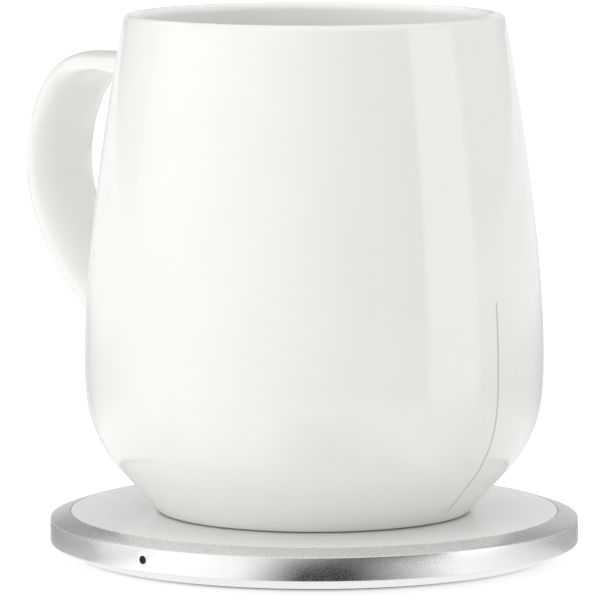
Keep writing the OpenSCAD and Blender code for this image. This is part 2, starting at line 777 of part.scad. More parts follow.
module inlet_tongue() {
  tongue_end = inlet_mouth - inlet_setback;
  tongue_start = inlet_back + inlet_wall;
  color("black") translate([-tongue_width / 2, tongue_start, inlet_level - tongue_thickness / 2])
    cube([tongue_width, tongue_end - tongue_start, tongue_thickness]);
}

module status_lamp() {
  lamp_height = lamp_level + pipe_radius - board_top;
  color("white") translate([-lamp_width / 2, -lamp_face, board_top])
    cube([lamp_width, lamp_depth, lamp_height]);
}

module light_pipe() {
  collar_start = bore_radius - pipe_collar_length - 2 * fit_gap;
  color("black") translate([0, 0, lamp_level]) rotate([90, 0, 0]) {
    translate([0, 0, pipe_end]) cylinder(r = pipe_radius, h = pad_radius - fit_gap - pipe_end);
    translate([0, 0, collar_start]) cylinder(r = pipe_collar_radius, h = pipe_collar_length);
  }
}

mug_body();
disc_bond();
heating_disc();
base_cap();
cap_seal();
housing_ring();
top_plate();
plate_tape();
base_cover();
foot_pad();
cover_screws();
heat_pad();
charging_coil();
coil_leads();
ferrite_disc();
coil_tray();
temperature_sensor();
circuit_board();
control_chip();
power_transistors();
filter_inductor();
tuning_capacitors();
inlet_shell();
inlet_tongue();
status_lamp();
light_pipe();
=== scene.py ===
"""Dresses the heated mug: a glazed cup on a flat round warming pad with a bevelled metal rim."""

import json
import logging
import math
from collections.abc import Callable, Iterator, Sequence
from contextlib import contextmanager
from dataclasses import dataclass
from enum import Enum

import bpy
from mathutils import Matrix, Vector


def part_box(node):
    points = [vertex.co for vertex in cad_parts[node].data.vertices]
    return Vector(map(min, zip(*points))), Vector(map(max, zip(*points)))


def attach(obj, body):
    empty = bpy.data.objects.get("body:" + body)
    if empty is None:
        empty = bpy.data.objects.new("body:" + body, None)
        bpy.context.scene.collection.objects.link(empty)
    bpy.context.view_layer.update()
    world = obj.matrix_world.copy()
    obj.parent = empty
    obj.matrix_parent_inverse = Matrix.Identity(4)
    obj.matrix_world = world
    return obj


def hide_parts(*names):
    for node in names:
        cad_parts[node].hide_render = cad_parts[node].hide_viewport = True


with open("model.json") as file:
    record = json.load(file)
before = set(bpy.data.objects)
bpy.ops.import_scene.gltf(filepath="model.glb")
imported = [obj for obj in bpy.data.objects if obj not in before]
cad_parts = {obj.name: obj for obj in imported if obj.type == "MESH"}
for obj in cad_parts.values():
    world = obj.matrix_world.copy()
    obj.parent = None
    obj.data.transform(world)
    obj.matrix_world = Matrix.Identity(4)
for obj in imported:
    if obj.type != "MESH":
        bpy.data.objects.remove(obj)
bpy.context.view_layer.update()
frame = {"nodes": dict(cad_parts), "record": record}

LOG = logging.getLogger("heated_mug")
MM = 0.001
FULL_TURN = 2 * math.pi
WHITE = (1, 1, 1, 1)
UNIT = (0.0, 1.0)

# Places nearer to each other than this, in metres, are one
TOUCH = 1e-6

# The most of a side that the round of a corner takes
SIDE_SHARE = 0.45

# Steps round a slot or a hole
HOLE_STEPS = 64

Point = tuple[float, float]
Corner = tuple[float, ...]
Colour = tuple[float, float, float]
Test = Callable[[Vector], bool]
Inputs = dict[str | int, object]
Socket = bpy.types.NodeSocket
Value = float | Socket


class Body(Enum):
    """The two bodies that the pieces ride on."""

    PAD = "pad"
    MUG = "mug"


class Join(Enum):
    """What a boolean modifier does with its tool."""

    UNION = "UNION"
    CUT = "DIFFERENCE"


def on_circle(centre: Point, radius: float, angle: float) -> Point:
    """Finds a point on a circle.

    Args:
        centre: The circle's centre.
        radius: Its radius; a negative one gives the opposite point.
        angle: Degrees from the first axis.

    Returns:
        The point.
    """
    turn = math.radians(angle)
    return centre[0] + radius * math.cos(turn), centre[1] + radius * math.sin(turn)


def arc(centre: Point, radius: float, start: float, end: float, steps: int) -> list[Point]:
    """Lists the points along an arc, after its first one.

    Args:
        centre: The arc's centre.
        radius: Its radius.
        start: Its first angle, in degrees.
        end: Its last angle, in degrees.
        steps: The number of points.

    Returns:
        The points.
    """
    return [on_circle(centre, radius, start + (end - start) * i / steps) for i in range(1, steps + 1)]


def per_metre(size: float) -> float:
    """Gives how often a size in millimetres goes into a metre."""
    return 1 / (size * MM)


def chord_lean(start: Point, end: Point) -> float:
    """Gives the lean of a line from the vertical, in degrees."""
    return math.degrees(math.atan2(start[0] - end[0], abs(end[1] - start[1])))


def end_lean(start: Point, end: Point, lean: float) -> float:
    """Gives the lean at the end of an arc that leaves its start at a lean, in degrees."""
    return 2 * chord_lean(start, end) - lean


def arc_radius(start: Point, end: Point, lean: float) -> float:
    """Gives the radius of an arc that leaves its start at a lean and ends at a point."""
    return math.dist(start, end) / (2 * math.sin(math.radians(chord_lean(start, end) - lean)))


def straight(start: Point, end: Point, steps: int) -> list[Point]:
    """Lists the points along a straight line, after its first one."""
    return [tuple(Vector(start).lerp(end, i / steps)) for i in range(1, steps + 1)]


def softened(outline: Sequence[Corner], radius: float, steps: int = 4) -> list[Point]:
    """Rounds the corners of an open outline, and keeps its two ends.

    Args:
        outline: The corners, each with a radius of its own after it where it has one.
        radius: How far from the other corners their rounds start; less on a short side.
        steps: The number of steps in each round.

    Returns:
        The rounded outline.
    """
    points = [outline[0]]
    for before, corner, after in zip(outline, outline[1:], outline[2:]):
        corner_at = Vector(corner[:2])
        sides = [Vector(end[:2]) - corner_at for end in (before, after)]
        own = corner[2] if len(corner) > 2 else radius
        ends = [side * min(own / side.length, SIDE_SHARE) for side in sides]
        for i in range(steps + 1):
            share = i / steps
            place = corner_at + ends[0] * (1 - share) ** 2 + ends[1] * share ** 2
            points.append((place.x, place.y))
    return points + [outline[-1]]


def closed(outline: Sequence[Corner], radius: float) -> list[Point]:
    """Rounds the corners of a closed outline, and ends it where it starts.

    Args:
        outline: The corners, each with a radius of its own after it where it has one.
        radius: How far from the other corners their rounds start.

    Returns:
        The rounded outline, with its first point at its end again.
    """
    middle = ((outline[0][0] + outline[-1][0]) / 2, (outline[0][1] + outline[-1][1]) / 2)
    return softened([middle, *outline, middle], radius)


class Workpiece:
    """A mesh object on the bench, shaped by operators."""

    def __init__(self, name: str) -> None:
        """Takes the object that an operator has just added.

        Args:
            name: The piece's name.
        """
        self.object: bpy.types.Object = bpy.context.active_object
        self.object.name = name
        self.object.data.name = name

    @staticmethod
    def clear_selection() -> None:
        """Deselects every object."""
        bpy.ops.object.select_all(action="DESELECT")

    @classmethod
    def grid(cls, name: str, columns: int, rows: int, size: float = 1.0) -> "Workpiece":
        """Lays a flat square grid, whose points run along its rows.

        Args:
            name: The piece's name.
            columns: The number of columns.
            rows: The number of rows.
            size: The length of its sides, in metres.

        Returns:
            The grid.
        """
        cls.clear_selection()
        bpy.ops.mesh.primitive_grid_add(x_subdivisions=columns, y_subdivisions=rows, size=size)
        return cls(name)

    @classmethod
    def lathe(cls, name: str, outline: Sequence[Point], steps: int) -> "Workpiece":
        """Turns an outline round the upright axis.

        Args:
            name: The piece's name.
            outline: Radius and height of each point, in millimetres.
            steps: The number of steps round the axis.

        Returns:
            The turned piece.
        """
        cls.clear_selection()
        bpy.ops.mesh.primitive_circle_add(vertices=3, radius=MM)
        piece = cls(name)
        places = [Vector((radius, 0, height)) * MM for radius, height in outline]
        with piece.editing():
            bpy.ops.mesh.merge(type="CENTER")
            bpy.ops.transform.translate(value=places[0])
            for here, there in zip(places, places[1:]):
                bpy.ops.mesh.extrude_vertices_move(TRANSFORM_OT_translate={"value": there - here})
            bpy.ops.mesh.select_all(action="SELECT")
            bpy.ops.mesh.spin(steps=steps, angle=FULL_TURN, center=(0, 0, 0), axis=(0, 0, 1))
        piece.close_up()
        return piece

    @classmethod
    def strap(cls, name: str, rings: Sequence[Sequence[Vector]]) -> "Workpiece":
        """Rolls a grid into a closed strap through rings of points.

        Args:
            name: The piece's name.
            rings: The rings, each with as many points, in metres.

        Returns:
            The strap, with both ends closed.
        """
        sides = len(rings[0])
        piece = cls.grid(name, sides, len(rings) - 1)
        for index, vertex in enumerate(piece.object.data.vertices):
            row, column = divmod(index, sides + 1)
            vertex.co = rings[row][column % sides]
        piece.close_up()
        with piece.editing():
            bpy.ops.mesh.select_all(action="DESELECT")
            bpy.ops.mesh.select_non_manifold(use_verts=False)
            bpy.ops.mesh.edge_face_add()
        piece.close_up()
        return piece

    @classmethod
    def pill(cls, name: str, width: float, height: float, length: float, at: Vector) -> "Workpiece":
        """Makes a bar with half-round sides that runs along Y.

        Args:
            name: The piece's name.
            width: Its width along X, in millimetres.
            height: Its height along Z.
            length: Its length along Y.
            at: The middle of its first end, in millimetres.

        Returns:
            The bar.
        """
        flat = (width - height) / 2 * MM
        cls.clear_selection()
        bpy.ops.mesh.primitive_circle_add(
            vertices=HOLE_STEPS,
            radius=height / 2 * MM,
            fill_type="NGON",
            location=at * MM,
            rotation=(math.pi / 2, 0, 0),
        )
        bpy.ops.object.transform_apply(location=True, rotation=True)
        piece = cls(name)
        for side in (-1, 1):
            piece.select(lambda place, side=side: side * (place.x - at.x * MM) > TOUCH)
            with piece.editing():
                bpy.ops.transform.translate(value=(side * flat, 0, 0))
        with piece.editing():
            bpy.ops.mesh.select_all(action="SELECT")
            bpy.ops.mesh.extrude_region_move(TRANSFORM_OT_translate={"value": (0, length * MM, 0)})
        piece.close_up()
        return piece

    def take_up(self) -> None:
        """Makes the piece the only selected object, and the active one."""
        self.clear_selection()
        self.object.select_set(True)
        bpy.context.view_layer.objects.active = self.object

    @contextmanager
    def editing(self) -> Iterator[None]:
        """Opens the piece in edit mode, and goes back to object mode after."""
        self.take_up()
        bpy.ops.object.mode_set(mode="EDIT")
        yield
        bpy.ops.object.mode_set(mode="OBJECT")

    def select(self, test: Test) -> None:
        """Selects the piece's points by their place.

        Args:
            test: Says whether a place, in metres, is taken.
        """
        mesh = self.object.data
        for group in (mesh.polygons, mesh.edges):
            for item in group:
                item.select = False
        for vertex in mesh.vertices:
            vertex.select = test(vertex.co)

    def close_up(self) -> None:
        """Merges the piece's doubles and points its faces outwards."""
        with self.editing():
            bpy.ops.mesh.select_all(action="SELECT")
            bpy.ops.mesh.remove_doubles(threshold=TOUCH)
            bpy.ops.mesh.normals_make_consistent(inside=False)

    def modify(self, kind: str, **settings: object) -> None:
        """Adds a modifier and applies it.

        Args:
            kind: The modifier's type.
            settings: Its settings, by name.
        """
        self.take_up()
        modifier = self.object.modifiers.new(kind.lower(), kind)
        for name, value in settings.items():
            setattr(modifier, name, value)
        bpy.ops.object.modifier_apply(modifier=modifier.name)

    def combine(self, join: Join, tool: "Workpiece") -> None:
        """Joins a tool to the piece or cuts the piece with it, and removes the tool.

        Args:
            join: What is done with the tool.
            tool: The other piece.
        """
        self.modify("BOOLEAN", operation=join.value, solver="EXACT", object=tool.object)
        bpy.data.objects.remove(tool.object)

    def smooth(self, angle: float) -> None:
        """Shades the piece smooth where its faces meet at less than an angle, in degrees."""
        self.take_up()
        bpy.ops.object.shade_smooth_by_angle(angle=math.radians(angle))

    def settle(self, body: Body, slot: str, *stands_for: str) -> None:
        """Ties the finished piece to its body, and hides the nodes that it stands for.

        Args:
            body: The body that it rides on.
            slot: The record's material slot; not used.
            stands_for: The nodes that it replaces.
        """
        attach(self.object, body.value)
        if stands_for:
            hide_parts(*stands_for)
        LOG.info("%s: %d faces, on %s", self.object.name, len(self.object.data.polygons), body.value)

    def paint(self, material: bpy.types.Material) -> None:
        """Gives the piece one material."""
        self.object.data.materials.clear()
        self.object.data.materials.append(material)


class Graph:
    """A node tree, with short ways to add nodes and join them."""

    def __init__(self, tree: bpy.types.NodeTree) -> None:
        """Takes an empty tree.

        Args:
            tree: The tree of a material, a world or a group.
        """
        self.tree = tree
        tree.nodes.clear()

    def add(self, kind: str, inputs: Inputs | None = None, **settings: object) -> bpy.types.Node:
        """Adds a node.

        Args:
            kind: The node's type, without its ShaderNode prefix.
            inputs: Values or sockets for its inputs, by name or by number.
            settings: Its settings, by name.

        Returns:
            The node.
        """
        node = self.tree.nodes.new(kind if kind.startswith("NodeGroup") else "ShaderNode" + kind)
        for name, value in settings.items():
            setattr(node, name, value)
        for key, value in (inputs or {}).items():
            if isinstance(value, Socket):
                self.join(value, node.inputs[key])
            else:
                node.inputs[key].default_value = value
        return node

    def work_out(self, operation: str, *values: Value) -> Socket:
        """Adds a sum or a comparison of values, and gives its result."""
        return self.add("Math", dict(enumerate(values)), operation=operation).outputs[0]

    def mapped(self, value: Socket, given: Point, wanted: tuple[Value, Value]) -> Socket:
        """Maps a value from a given range to a wanted one, and holds it there."""
        ends = dict(enumerate((*given, *wanted), start=1))
        return self.add("MapRange", {"Value": value, **ends}).outputs[0]

    def mixed(self, share: Value, first: Socket | Corner, second: Socket, blend: str = "MIX") -> Socket:
        """Mixes two colours by the second one's share."""
        return self.add("MixRGB", {0: share, 1: first, 2: second}, blend_type=blend).outputs[0]

    def join(self, source: Socket, target: Socket) -> None:
        """Links two sockets."""
        self.tree.links.new(source, target)


class Effect(Enum):
    """Surface effects that several finishes share, each one node group."""

    MOTTLE = "soft_mottle"
    GRAIN = "fine_grain"
    BLAST = "blasted_grain"
    FILM = "handling_film"


class EffectShelf:
    """Builds each shared effect once, and hands it out.

    A range is the part of a noise that an effect stretches out. A dent's shade is a share of the colour.
    """

    mottle_detail: float = 4.0
    mottle_range: Point = (0.3, 0.7)
    grain_detail: float = 3.0
    film_detail: float = 5.0
    film_range: Point = (0.35, 0.65)
    dent_shade: float = 0.97

    def __init__(self) -> None:
        """Starts with an empty shelf."""
        self.made: dict[Effect, bpy.types.NodeTree] = {}

    def take(self, effect: Effect) -> bpy.types.NodeTree:
        """Gives an effect's node group.

        Args:
            effect: The effect.

        Returns:
            The group, built at its first use.
        """
        if effect not in self.made:
            builders = {
                Effect.MOTTLE: self.mottle,
                Effect.GRAIN: self.grain,
                Effect.BLAST: self.blast,
                Effect.FILM: self.film,
            }
            self.made[effect] = builders[effect]()
        return self.made[effect]

    @staticmethod
    def group(
        effect: Effect, inputs: dict[str, str], outputs: dict[str, str]
    ) -> tuple[Graph, dict[str, Socket], dict[str, Socket]]:
        """Starts a node group.

        Args:
            effect: The effect that the group is for.
            inputs: The kind of each input, by name.
            outputs: The kind of each output, by name.

        Returns:
            The group's graph, and the sockets of its inputs and of its outputs by name.
        """
        tree = bpy.data.node_groups.new(effect.value, "ShaderNodeTree")
        for in_out, sockets in (("INPUT", inputs), ("OUTPUT", outputs)):
            for socket, kind in sockets.items():
                tree.interface.new_socket(socket, in_out=in_out, socket_type="NodeSocket" + kind)
        graph = Graph(tree)
        given, result = graph.add("NodeGroupInput").outputs, graph.add("NodeGroupOutput").inputs
        return graph, {name: given[name] for name in inputs}, {name: result[name] for name in outputs}

    @staticmethod
    def noise(graph: Graph, given: dict[str, Socket], detail: float) -> Socket:
        """Adds a noise at a group's own place and scale."""
        inputs = {"Vector": given["Vector"], "Scale": given["Scale"], "Detail": detail}
        return graph.add("TexNoise", inputs).outputs["Fac"]

    def mottle(self) -> bpy.types.NodeTree:
        """Builds a cloudy change of a colour's depth.

        Returns:
            The group.
        """
        graph, given, result = self.group(
            Effect.MOTTLE,
            {"Vector": "Vector", "Color": "Color", "Scale": "Float", "Amount": "Float"},
            {"Color": "Color"},
        )
        noise = self.noise(graph, given, self.mottle_detail)
        low = graph.work_out("SUBTRACT", 1.0, given["Amount"])
        depth = graph.mapped(noise, self.mottle_range, (low, 1.0))
        graph.join(graph.mixed(1.0, given["Color"], depth, "MULTIPLY"), result["Color"])
        return graph.tree

    def grain(self) -> bpy.types.NodeTree:
        """Builds the height of a fine moulded or cast grain.

        Returns:
            The group.
        """
        graph, given, result = self.group(
            Effect.GRAIN, {"Vector": "Vector", "Scale": "Float"}, {"Height": "Float"}
        )
        graph.join(self.noise(graph, given, self.grain_detail), result["Height"])
        return graph.tree

    def blast(self) -> bpy.types.NodeTree:
        """Builds the dents of a bead-blasted surface: each dulls the metal by a share of its own.

        Returns:
            The group.
        """
        graph, given, result = self.group(
            Effect.BLAST,
            {
                "Vector": "Vector",
                "Color": "Color",
                "Roughness": "Float",
                "Scale": "Float",
                "Spread": "Float",
            },
            {"Color": "Color", "Roughness": "Float"},
        )
        cells = graph.add("TexVoronoi", {"Vector": given["Vector"], "Scale": given["Scale"]})
        share = graph.add("SeparateColor", {0: cells.outputs["Color"]}).outputs[0]
        depth = graph.mapped(share, UNIT, (1.0, self.dent_shade))
        dull = graph.work_out("MULTIPLY_ADD", share, given["Spread"], given["Roughness"])
        graph.join(graph.mixed(1.0, given["Color"], depth, "MULTIPLY"), result["Color"])
        graph.join(dull, result["Roughness"])
        return graph.tree

    def film(self) -> bpy.types.NodeTree:
        """Builds a roughness that wanders between two values, as handling leaves it.

        Returns:
            The group.
        """
        graph, given, result = self.group(
            Effect.FILM,
            {"Vector": "Vector", "Scale": "Float", "Smooth": "Float", "Rough": "Float"},
            {"Roughness": "Float"},
        )
        noise = self.noise(graph, given, self.film_detail)
        spread = graph.mapped(noise, self.film_range, (given["Smooth"], given["Rough"]))
        graph.join(spread, result["Roughness"])
        return graph.tree


SHELF = EffectShelf()


def new_material(name: str) -> tuple[bpy.types.Material, Graph]:
    """Makes a material with an empty graph.

    Args:
        name: The material's name.

    Returns:
        The material and its graph.
    """
    material = bpy.data.materials.new(name)
    material.use_nodes = True
    return material, Graph(material.node_tree)


@dataclass(frozen=True)
class Finish:
    """A plain finish: a mottled colour, a wandering roughness and a fine grain.

    Sizes of cloud and grain are in millimetres, and the grain's depth is in micrometres.
    """

    name: str
    colour: Colour
    roughness: Point
    cloud: float = 6.0
    mottle: float = 0.06
    grain: float = 0.25
    depth: float = 8.0
    metallic: float = 0.0
    coat: float = 0.0
    coat_roughness: float = 0.05
    ior: float = 1.5
    transmission: float = 0.0

    def start(self) -> tuple[bpy.types.Material, Graph, bpy.types.Node, Socket]:
        """Starts the material with its shader, its constants and its coordinates.

        Returns:
            The material, its graph, its shader and the Object coordinates.
        """
        material, graph = new_material(self.name)
        constants = {
            "Metallic": self.metallic,
            "Coat Weight": self.coat,
            "Coat Roughness": self.coat_roughness,
            "IOR": self.ior,
            "Transmission Weight": self.transmission,
        }
        shader = graph.add("BsdfPrincipled", constants)
        graph.add("OutputMaterial", {"Surface": shader.outputs[0]}, is_active_output=True)
        return material, graph, shader, graph.add("TexCoord").outputs["Object"]

    @staticmethod
    def effect(graph: Graph, effect: Effect, inputs: Inputs) -> bpy.types.Node:
        """Places a shared effect in a material."""
        return graph.add("Group", inputs, node_tree=SHELF.take(effect))

    def tint(self, graph: Graph, place: Socket, colour: Colour) -> Socket:
        """Mottles a colour."""
        inputs = {
            "Vector": place,
            "Color": (*colour, 1),
            "Scale": per_metre(self.cloud),
            "Amount": self.mottle,
        }
        return self.effect(graph, Effect.MOTTLE, inputs).outputs["Color"]

    def sheen(self, graph: Graph, place: Socket) -> Socket:
        """Gives the wandering roughness."""
        inputs = {
            "Vector": place,
            "Scale": per_metre(self.cloud),
            "Smooth": self.roughness[0],
            "Rough": self.roughness[1],
        }
        return self.effect(graph, Effect.FILM, inputs).outputs["Roughness"]

    def relief(self, graph: Graph, place: Socket) -> Socket:
        """Gives the normal that the fine grain makes."""
        grain = self.effect(graph, Effect.GRAIN, {"Vector": place, "Scale": per_metre(self.grain)})
        return graph.add("Bump", {"Distance": self.depth * MM * MM, "Height": grain.outputs[0]}).outputs[0]

    def build(self) -> bpy.types.Material:
        """Builds the material.

        Returns:
            The material.
        """
        material, graph, shader, place = self.start()
        graph.join(self.tint(graph, place, self.colour), shader.inputs["Base Color"])
        graph.join(self.sheen(graph, place), shader.inputs["Roughness"])
        graph.join(self.relief(graph, place), shader.inputs["Normal"])
        return material


@dataclass(frozen=True)
class Glaze(Finish):
    """A glossy glaze with a faint orange peel, left off the foot ring, and painted lighter inside the cup as
    painted light against the shade that falls there.
    """

    # The glaze's colour painted lighter inside the cup: painted light against the shade in there
    inside_painted_light_colour: Colour = (0.985, 0.98, 0.965)
    painted_light_radius: float = 41.5
    bare_colour: Colour = (0.62, 0.58, 0.52)
    bare_roughness: float = 0.75
    bare_level: float = 0.0
    bare_fade: float = 0.25

    def inside(self, graph: Graph, place: Socket) -> Socket:
        """Gives the mask of the painted light: 1 on faces inside the cup, which look at its axis, and 0 on
        the rest.

        Args:
            graph: The material's graph.
            place: The Object coordinates.

        Returns:
            The share.
        """
        outward = graph.add("VectorMath", {0: place, 1: (1, 1, 0)}, operation="MULTIPLY").outputs[0]
        normal = graph.add("NewGeometry").outputs["Normal"]
        lean = graph.add("VectorMath", {0: normal, 1: outward}, operation="DOT_PRODUCT").outputs["Value"]
        radius = graph.add("VectorMath", {0: outward}, operation="LENGTH").outputs["Value"]
        inward = graph.work_out("LESS_THAN", lean, 0.0)
        within = graph.work_out("LESS_THAN", radius, self.painted_light_radius * MM)
        return graph.work_out("MULTIPLY", inward, within)

    def build(self) -> bpy.types.Material:
        """Builds the material.

        Returns:
            The material.
        """
        material, graph, shader, place = self.start()
        level = graph.add("SeparateXYZ", {0: place}).outputs["Z"]
        low = self.bare_level * MM
        glazed = graph.mapped(level, (low, low + self.bare_fade * MM), UNIT)
        # Mixes in the lighter glaze inside the cup: painted light against the shade in there
        white = graph.mixed(
            self.inside(graph, place),
            self.tint(graph, place, self.colour),
            self.tint(graph, place, self.inside_painted_light_colour),
        )
        colour = graph.mixed(glazed, (*self.bare_colour, 1), white)
        rough = graph.mapped(glazed, UNIT, (self.bare_roughness, self.sheen(graph, place)))
        graph.join(colour, shader.inputs["Base Color"])
        graph.join(rough, shader.inputs["Roughness"])
        graph.join(self.relief(graph, place), shader.inputs["Normal"])
        return material


@dataclass(frozen=True)
class BlastedMetal(Finish):
    """Bead-blasted and anodised metal, whose dents sparkle."""

    spread: float = 0.17

    def build(self) -> bpy.types.Material:
        """Builds the material.

        Returns:
            The material.
        """
        material, graph, shader, place = self.start()
        inputs = {
            "Vector": place,
            "Color": self.tint(graph, place, self.colour),
            "Roughness": self.sheen(graph, place),
            "Scale": per_metre(self.grain),
            "Spread": self.spread,
        }
        blast = self.effect(graph, Effect.BLAST, inputs)
        graph.join(blast.outputs["Color"], shader.inputs["Base Color"])
        graph.join(blast.outputs["Roughness"], shader.inputs["Roughness"])
        return material


@dataclass
class Cup:
    """The ceramic cup. Sizes are in millimetres above the mug's foot, and leans in degrees.

    The belly and the heel are given by radius and height.
    """

    height: float = 94.0
    belly: Point = (43.4, 28.0)
    rim_radius: float = 36.0
    lip_thickness: float = 2.8
    wall: float = 3.6
    shoulder_radius: float = 190.0
    shoulder_turn: float = 5.0
    underbelly_radius: float = 56.0
    underbelly_turn: float = 6.2
    corner_radius: float = 24.0
    heel: Point = (29.6, 0.2)
    foot_inset: float = 0.9
    foot_round: float = 0.3
    floor_height: float = 8.0
    floor_fillet: float = 15.0
    recess_radius: float = 25.2
    recess_depth: float = 3.6
    glaze_edge: float = 0.14
    steps: int = 192
    lip_steps: int = 9
    wall_steps: int = 24
    shoulder_steps: int = 8
    underbelly_steps: int = 6
    corner_steps: int = 24
    heel_steps: int = 8
    smooth_angle: float = 38.0

    def __post_init__(self) -> None:
        """Works out the centres and ends of the arcs."""
        belly_radius, belly_height = self.belly
        self.stand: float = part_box("mug_body")[0].z / MM
        self.lip_radius: float = self.lip_thickness / 2
        self.shoulder_centre: Point = (belly_radius - self.shoulder_radius, belly_height)
        self.shoulder_end: Point = on_circle(self.shoulder_centre, self.shoulder_radius, self.shoulder_turn)
        lip_level = self.height - self.lip_radius
        self.lip_lean: float = end_lean(self.shoulder_end, (self.rim_radius, lip_level), self.shoulder_turn)
        lean_share = math.cos(math.radians(self.lip_lean))
        self.lip_centre: Point = (self.rim_radius - self.lip_radius * lean_share, lip_level)
        self.rim: Point = on_circle(self.lip_centre, self.lip_radius, self.lip_lean)
        self.wall_radius: float = arc_radius(self.shoulder_end, self.rim, self.shoulder_turn)
        self.wall_centre: Point = on_circle(self.shoulder_end, -self.wall_radius, self.shoulder_turn)
        self.underbelly_centre: Point = (belly_radius - self.underbelly_radius, belly_height)
        self.underbelly_end: Point = on_circle(
            self.underbelly_centre, self.underbelly_radius, -self.underbelly_turn
        )

    def outside(self) -> list[Point]:
        """Lists the outside, from the foot ring to the top of the lip.

        Returns:
            Radius and height of each point.
        """
        turn = self.underbelly_turn
        corner = on_circle(self.underbelly_end, -self.corner_radius, -turn)
        reach = Vector(self.heel) - Vector(corner)
        corner_turn = math.degrees(
            -math.atan2(reach.y, reach.x) - math.acos(self.corner_radius / reach.length)
        )
        corner_end = on_circle(corner, self.corner_radius, -corner_turn)
        foot_radius = self.heel[0] - self.foot_inset
        foot = softened(
            [
                (self.recess_radius, self.recess_depth),
                (self.recess_radius, 0),
                (foot_radius, 0),
                (foot_radius, self.heel[1]),
                self.heel,
                corner_end,
            ],
            self.foot_round,
        )
        rim_lean = end_lean(self.shoulder_end, self.rim, self.shoulder_turn)
        return [
            (0, self.recess_depth),
            *foot[:-1],
            *straight(foot[-2], corner_end, self.heel_steps),
            *arc(corner, self.corner_radius, -corner_turn, -turn, self.corner_steps),
            *arc(self.underbelly_centre, self.underbelly_radius, -turn, 0, self.underbelly_steps),
            *arc(self.shoulder_centre, self.shoulder_radius, 0, self.shoulder_turn, self.shoulder_steps),
            *arc(self.wall_centre, self.wall_radius, self.shoulder_turn, rim_lean, self.wall_steps),
            *arc(self.lip_centre, self.lip_radius, self.lip_lean, 90, self.lip_steps),
        ]

    def inside(self) -> list[Point]:
        """Lists the inside, from the top of the lip to the middle of the floor.

        Returns:
            Radius and height of each point.
        """
        shoulder_radius = self.shoulder_radius - self.wall
        shoulder_end = on_circle(self.shoulder_centre, shoulder_radius, self.shoulder_turn)
        rim = on_circle(self.lip_centre, -self.lip_radius, self.lip_lean)
        wall_radius = arc_radius(shoulder_end, rim, self.shoulder_turn)
        wall_centre = on_circle(shoulder_end, -wall_radius, self.shoulder_turn)
        belly_radius = self.underbelly_radius - self.wall
        reach = belly_radius - self.floor_fillet
        drop = self.belly[1] - self.floor_height - self.floor_fillet
        lean = math.degrees(math.asin(drop / reach))
        fillet_centre = on_circle(self.underbelly_centre, reach, -lean)
        wall_lean = end_lean(shoulder_end, rim, self.shoulder_turn)
        return [
            *arc(self.lip_centre, self.lip_radius, 90, 180 + self.lip_lean, self.lip_steps),
            *arc(wall_centre, wall_radius, wall_lean, self.shoulder_turn, self.wall_steps),
            *arc(self.shoulder_centre, shoulder_radius, self.shoulder_turn, 0, self.shoulder_steps),
            *arc(self.underbelly_centre, belly_radius, 0, -lean, self.underbelly_steps),
            *arc(fillet_centre, self.floor_fillet, -lean, -90, self.corner_steps),
            (0, self.floor_height),
        ]

    def radius_at(self, level: float) -> float:
        """Gives the outside radius at a level where the handle can meet the wall.

        Args:
            level: The level, not lower than the end of the underbelly.

        Returns:
            The radius.
        """
        if level > self.shoulder_end[1]:
            centre, radius = self.wall_centre, self.wall_radius
        elif level > self.belly[1]:
            centre, radius = self.shoulder_centre, self.shoulder_radius
        else:
            centre, radius = self.underbelly_centre, self.underbelly_radius
        return centre[0] + math.sqrt(radius ** 2 - (level - centre[1]) ** 2)

    def gap(self, place: Vector) -> float:
        """Gives how far a place lies outside the wall, along the handle's plane."""
        return place.x - math.sqrt(self.radius_at(place.z) ** 2 - place.y ** 2)

    def build(self, handle: "Handle") -> Workpiece:
        """Turns the cup and joins its handle.

        Args:
            handle: The handle.

        Returns:
            The cup.
        """
        outline = [(radius, height + self.stand) for radius, height in self.outside() + self.inside()]
        cup = Workpiece.lathe("cup", outline, self.steps)
        cup.combine(Join.UNION, handle.build(self))
        cup.smooth(self.smooth_angle)
        return cup

    def dress(self, cup: Workpiece) -> None:
        """Glazes the cup.

        Args:
            cup: The cup.
        """
        glaze = Glaze(
            "white_glaze",
            (0.93, 0.923, 0.90),
            (0.1, 0.14),
            cloud=22.0,
            mottle=0.025,
            grain=2.6,
            depth=9.0,
            bare_level=self.stand + self.glaze_edge,
        )
        cup.paint(glaze.build())
        cup.settle(Body.MUG, "mug_glaze", "mug_body")


